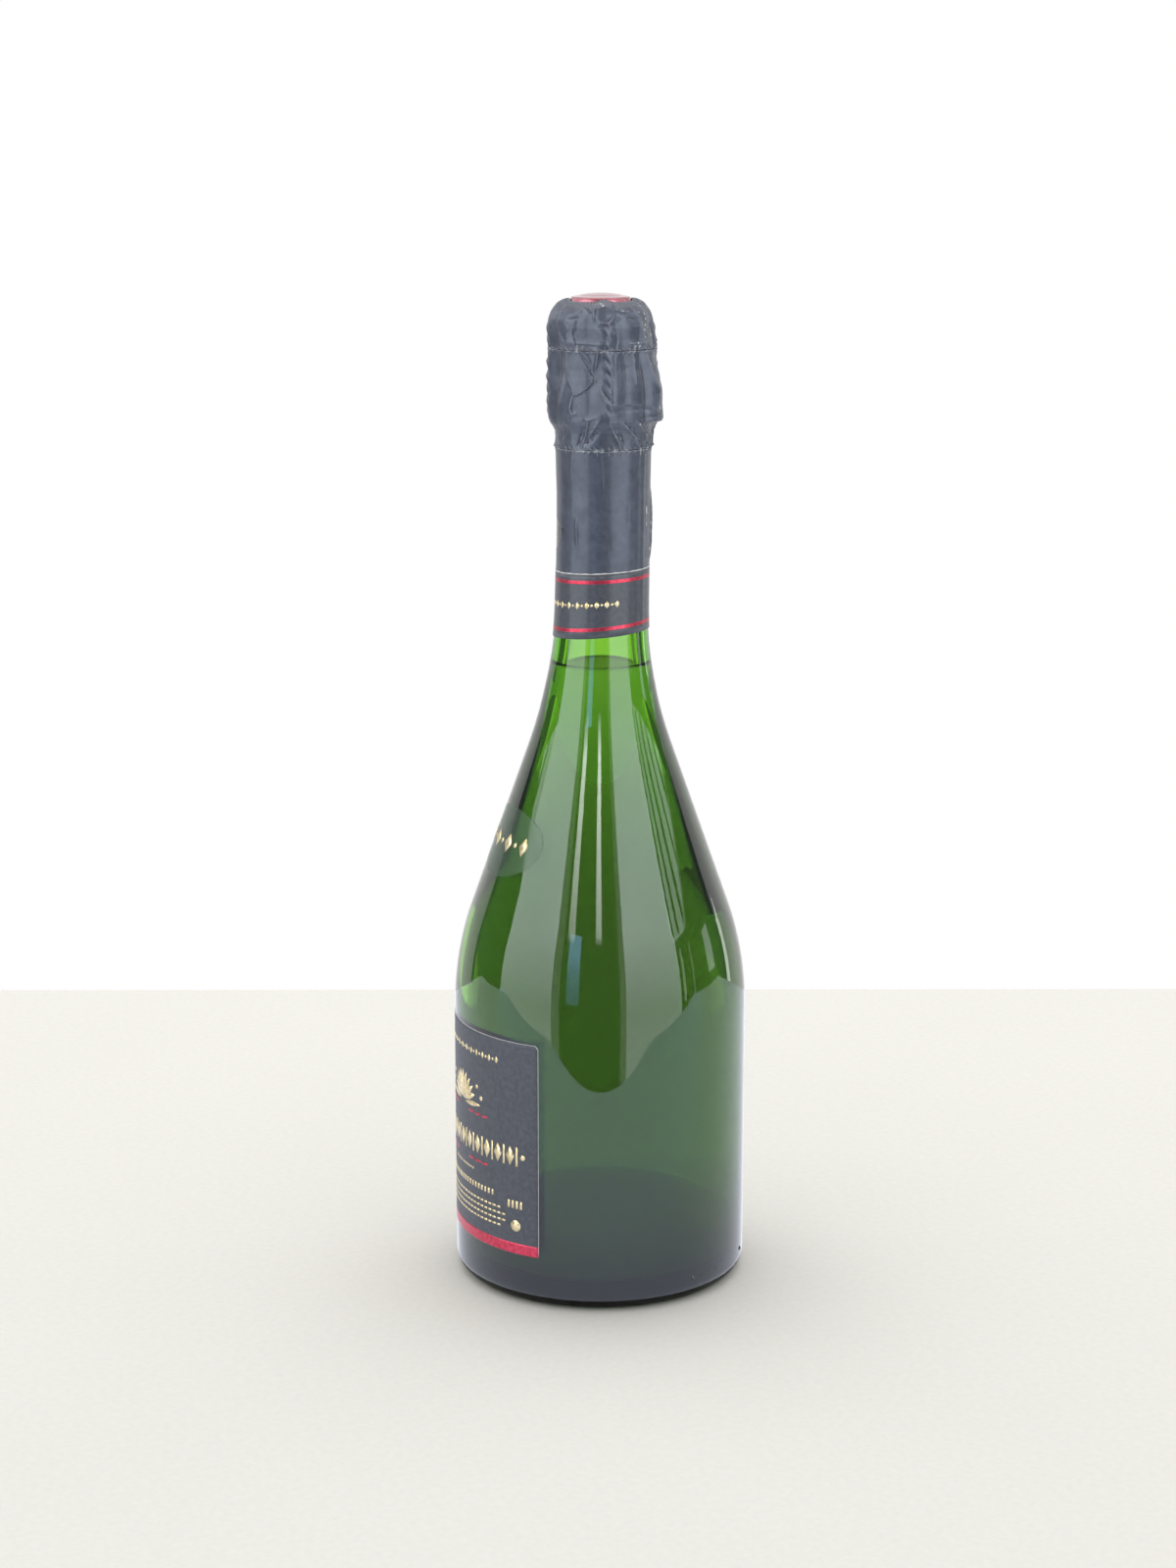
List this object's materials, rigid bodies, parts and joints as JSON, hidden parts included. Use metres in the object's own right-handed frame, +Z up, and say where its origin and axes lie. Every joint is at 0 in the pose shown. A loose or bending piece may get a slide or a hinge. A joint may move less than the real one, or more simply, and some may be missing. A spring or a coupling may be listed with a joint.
{
  "type": "champagne bottle",
  "caption": "Full sparkling wine bottle with cork, wire hood and plaque, foil with tear strip, collar, front label and clear oval label",
  "frame": {"origin": "centre of the bottle's base, on the surface that it stands on", "axes": "+Z up along the bottle's axis, -Y out through the middle of the front label"},
  "size_m": [0.0944, 0.0946, 0.318],
  "materials": {
    "green_glass": "smooth dark green glass",
    "wine": "clear pale gold wine, stands in for a liquid",
    "pressed_cork": "pressed cork granules",
    "natural_cork": "natural cork with fine pores",
    "plaque_paint": "glossy red lacquer on pressed sheet",
    "wire": "drawn tinned wire",
    "foil": "satin dark blue-grey lacquered foil, creased",
    "collar_paper": "dark satin paper with metallic red stripes and gold ornament",
    "label_paper": "dark grey satin paper with gold and red ornament",
    "clear_film": "clear film with a gold ornament"
  },
  "bodies": {
    "bottle": {"glass_bottle": "green_glass", "wine": "wine", "foil_skirt": "foil", "collar_label": "collar_paper", "front_label": "label_paper", "oval_label": "clear_film"},
    "cork": {"cork_body": "pressed_cork", "cork_disc_upper": "natural_cork", "cork_disc_lower": "natural_cork"},
    "muselet": {"cap_plaque": "plaque_paint", "cage_wire": "wire", "belt_wire": "wire"},
    "eyelet": {"belt_eyelet": "wire"},
    "tear_strip": {"foil_tear_strip": "foil"},
    "hood": {"foil_hood": "foil"}
  },
  "joints": [
    {"name": "cork_pull", "type": "slide", "parent": "bottle", "child": "cork", "axis": [0, 0, 1], "range_m": [0, 0.03]},
    {"name": "muselet_lift", "type": "slide", "parent": "cork", "child": "muselet", "axis": [0, 0, 1], "range_m": [0, 0.045], "deforming": ["cage_wire", "belt_wire"]},
    {"name": "eyelet_fold", "type": "hinge", "parent": "muselet", "child": "eyelet", "pos_m": [0.01117, 0.0143, 0.2789], "axis": [-0.788, 0.6157, 0], "range_deg": [0, 90]},
    {"name": "strip_lift", "type": "slide", "parent": "muselet", "child": "tear_strip", "axis": [0, 0, 1], "range_m": [0, 0.055], "deforming": ["foil_tear_strip"]},
    {"name": "hood_lift", "type": "slide", "parent": "tear_strip", "child": "hood", "axis": [0, 0, 1], "range_m": [0, 0.02]}
  ]
}
